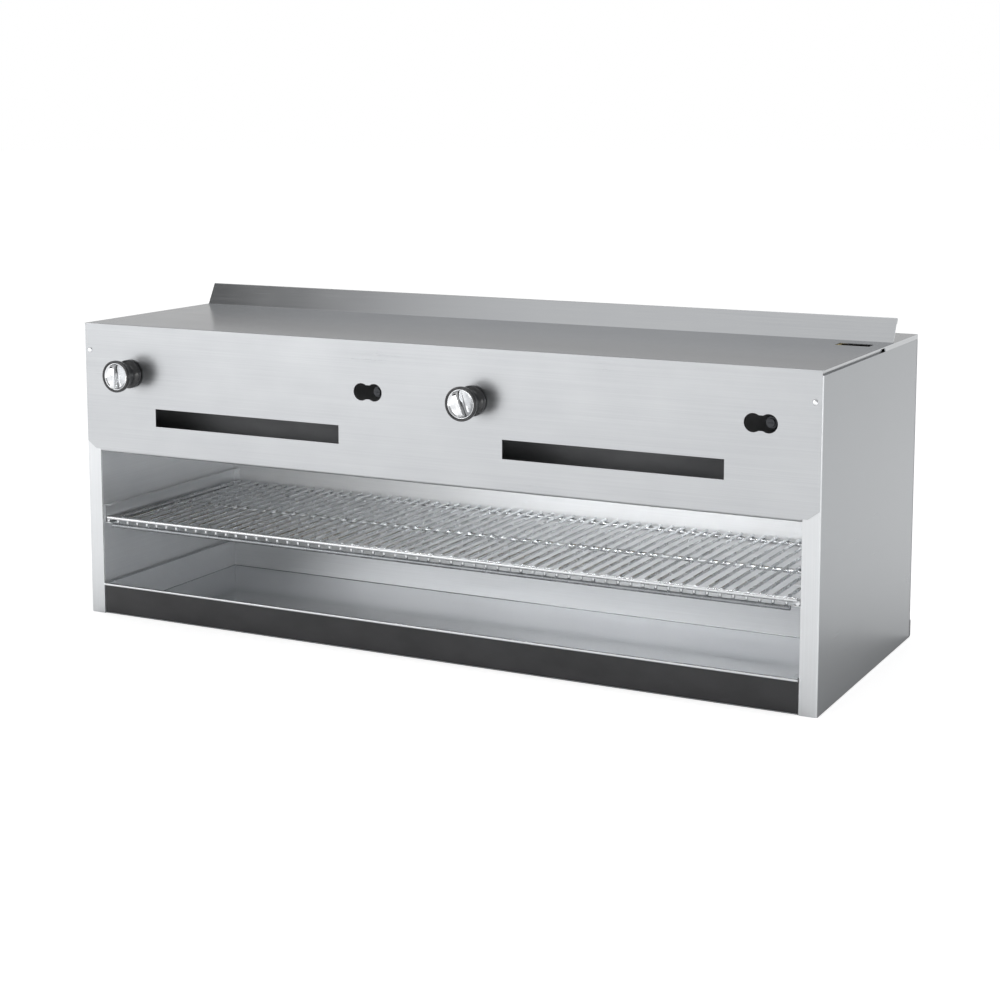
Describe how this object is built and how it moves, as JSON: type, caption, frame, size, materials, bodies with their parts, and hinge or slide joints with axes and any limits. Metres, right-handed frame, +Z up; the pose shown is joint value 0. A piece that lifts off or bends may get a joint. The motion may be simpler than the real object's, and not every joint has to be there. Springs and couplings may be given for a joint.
{
  "type": "cheese melter",
  "caption": "Counter-top gas infrared cheese melter with an open-front cavity, a sliding wire rack, a drip tray, front gas knobs and a top flue deflector.",
  "frame": {"origin": "centre of the casing's footprint, on the plane that the base stands on", "axes": "+X to the right as seen from the front, +Y from the front to the back, +Z up"},
  "size_m": [1.219, 0.531, 0.5045],
  "materials": {
    "stainless": "brushed stainless sheet",
    "aluminised": "aluminised steel sheet",
    "black_steel": "black pipe and blued burner steel",
    "chrome_wire": "bright chrome plate",
    "chrome_trim": "polished chrome plate",
    "knob_black": "moulded phenolic",
    "brass": "machined brass",
    "ceramic": "pierced ceramic tile, fired matt",
    "insulation": "mineral wool board",
    "rubber": "moulded rubber",
    "aluminium_tube": "drawn aluminium tube"
  },
  "bodies": {
    "casing": {"base_pan": "aluminised", "leg_nuts": "black_steel", "left_side_panel": "stainless", "right_side_panel": "stainless", "back_panel": "stainless", "rear_bumpers": "rubber", "top_cover": "stainless", "front_valve_panel": "stainless", "front_panel_screws": "chrome_trim", "back_panel_screws": "chrome_trim", "left_liner": "aluminised", "right_liner": "aluminised", "rear_liner": "aluminised", "burner_deck": "aluminised", "control_heat_shield": "aluminised", "burner_roof": "aluminised", "roof_insulation": "insulation", "flue_front_wall": "aluminised", "flue_duct": "aluminised", "flue_deflector": "stainless", "deflector_screws": "chrome_trim", "left_rack_guide": "chrome_wire", "right_rack_guide": "chrome_wire", "left_burner_frame": "aluminised", "right_burner_frame": "aluminised", "left_burner_box": "black_steel", "right_burner_box": "black_steel", "left_ceramic_tiles": "ceramic", "right_ceramic_tiles": "ceramic", "left_burner_screen": "chrome_wire", "right_burner_screen": "chrome_wire", "left_mixer": "black_steel", "right_mixer": "black_steel", "gas_manifold": "black_steel", "inlet_elbow": "black_steel", "inlet_pipe": "black_steel", "inlet_coupling": "black_steel", "manifold_brackets": "aluminised", "left_gas_valve": "brass", "right_gas_valve": "brass", "left_orifice_hood": "brass", "right_orifice_hood": "brass", "left_pilot_valve": "brass", "right_pilot_valve": "brass", "left_pilot_tube": "aluminium_tube", "right_pilot_tube": "aluminium_tube", "left_pilot_burner": "brass", "right_pilot_burner": "brass"},
    "left_knob_set": {"left_knob": "knob_black", "left_knob_face": "chrome_trim", "left_valve_stem": "brass"},
    "right_knob_set": {"right_knob": "knob_black", "right_knob_face": "chrome_trim", "right_valve_stem": "brass"},
    "rack": {"wire_rack": "chrome_wire"},
    "tray": {"drip_tray": "stainless"}
  },
  "joints": [
    {"name": "left_knob_turn", "type": "hinge", "parent": "casing", "child": "left_knob_set", "pos_m": [-0.51975, -0.2275, 0.394], "axis": [0, -1, 0], "range_deg": [0, 180]},
    {"name": "right_knob_turn", "type": "hinge", "parent": "casing", "child": "right_knob_set", "pos_m": [0.08975, -0.2275, 0.394], "axis": [0, -1, 0], "range_deg": [-18, 162]},
    {"name": "rack_slide", "type": "slide", "parent": "casing", "child": "rack", "axis": [0, -1, 0], "range_m": [0, 0.22]},
    {"name": "tray_slide", "type": "slide", "parent": "casing", "child": "tray", "axis": [0, -1, 0], "range_m": [0, 0.3]}
  ]
}
